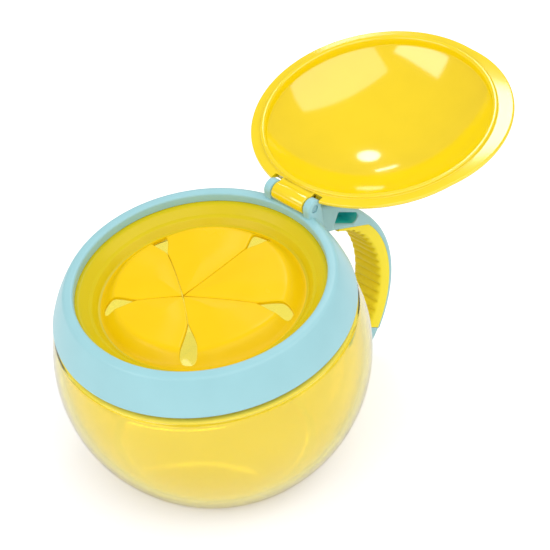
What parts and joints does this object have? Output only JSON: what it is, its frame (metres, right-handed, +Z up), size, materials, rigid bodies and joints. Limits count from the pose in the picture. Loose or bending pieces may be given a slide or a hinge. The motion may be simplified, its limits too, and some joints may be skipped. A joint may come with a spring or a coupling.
{
  "type": "toddler snack container",
  "caption": "Ball-shaped snack cup for a toddler with a screw-on collar, a soft petal opening, a hinged dome lid and a side handle.",
  "frame": {"origin": "middle of the flat base, on the surface that the bowl stands on", "axes": "+Z up, +X from the bowl's middle towards the hinge and the handle, +Y along the lid's hinge axis"},
  "size_m": [0.1502, 0.09, 0.0911],
  "materials": {
    "bowl_plastic": "translucent moulded plastic, smooth",
    "frame_plastic": "opaque moulded plastic, satin",
    "lid_plastic": "opaque moulded plastic, glossy",
    "soft_grip": "soft moulded elastomer, matte",
    "soft_flap": "soft moulded elastomer, satin",
    "pin_plastic": "moulded plastic, satin"
  },
  "bodies": {
    "bowl_body": {"bowl": "bowl_plastic"},
    "insert": {"flap_ring": "soft_flap"},
    "collar_body": {"collar": "frame_plastic", "handle": "frame_plastic", "handle_grip": "soft_grip", "hinge_pin": "pin_plastic"},
    "lid_body": {"lid": "lid_plastic"},
    "petal_body_1": {"petal_1": "soft_flap"},
    "petal_body_2": {"petal_2": "soft_flap"},
    "petal_body_3": {"petal_3": "soft_flap"},
    "petal_body_4": {"petal_4": "soft_flap"},
    "petal_body_5": {"petal_5": "soft_flap"}
  },
  "joints": [
    {"name": "collar_lift", "type": "slide", "parent": "bowl_body", "child": "insert", "axis": [-0.165, 0, 0.9863], "range_m": [0, 0.003]},
    {"name": "collar_twist", "type": "hinge", "parent": "insert", "child": "collar_body", "pos_m": [0, 0, 0.035], "axis": [-0.165, 0, 0.9863], "range_deg": [0, 90]},
    {"name": "lid_hinge", "type": "hinge", "parent": "collar_body", "child": "lid_body", "pos_m": [0.03242, 0, 0.07044], "axis": [0, 1, 0], "range_deg": [-175.3, 0]},
    {"name": "petal_1_bend", "type": "hinge", "parent": "insert", "child": "petal_body_1", "pos_m": [0.01254, 0.01179, 0.05834], "axis": [-0.5797, 0.809, -0.097], "range_deg": [-60, 35], "stiffness_Nm_per_rad": 0.02},
    {"name": "petal_2_bend", "type": "hinge", "parent": "insert", "child": "petal_body_2", "pos_m": [-0.00957, 0.01907, 0.05464], "axis": [-0.938, -0.309, -0.157], "range_deg": [-60, 35], "stiffness_Nm_per_rad": 0.02},
    {"name": "petal_3_bend", "type": "hinge", "parent": "insert", "child": "petal_body_3", "pos_m": [-0.02323, 0, 0.05235], "axis": [0, -1, 0], "range_deg": [-60, 35], "stiffness_Nm_per_rad": 0.02},
    {"name": "petal_4_bend", "type": "hinge", "parent": "insert", "child": "petal_body_4", "pos_m": [-0.00957, -0.01907, 0.05464], "axis": [0.938, -0.309, 0.157], "range_deg": [-60, 35], "stiffness_Nm_per_rad": 0.02},
    {"name": "petal_5_bend", "type": "hinge", "parent": "insert", "child": "petal_body_5", "pos_m": [0.01254, -0.01179, 0.05834], "axis": [0.5797, 0.809, 0.097], "range_deg": [-60, 35], "stiffness_Nm_per_rad": 0.02}
  ],
  "couplings": [
    {"joint": "collar_twist", "follows": "collar_lift", "rad_per_m": 523.59}
  ]
}
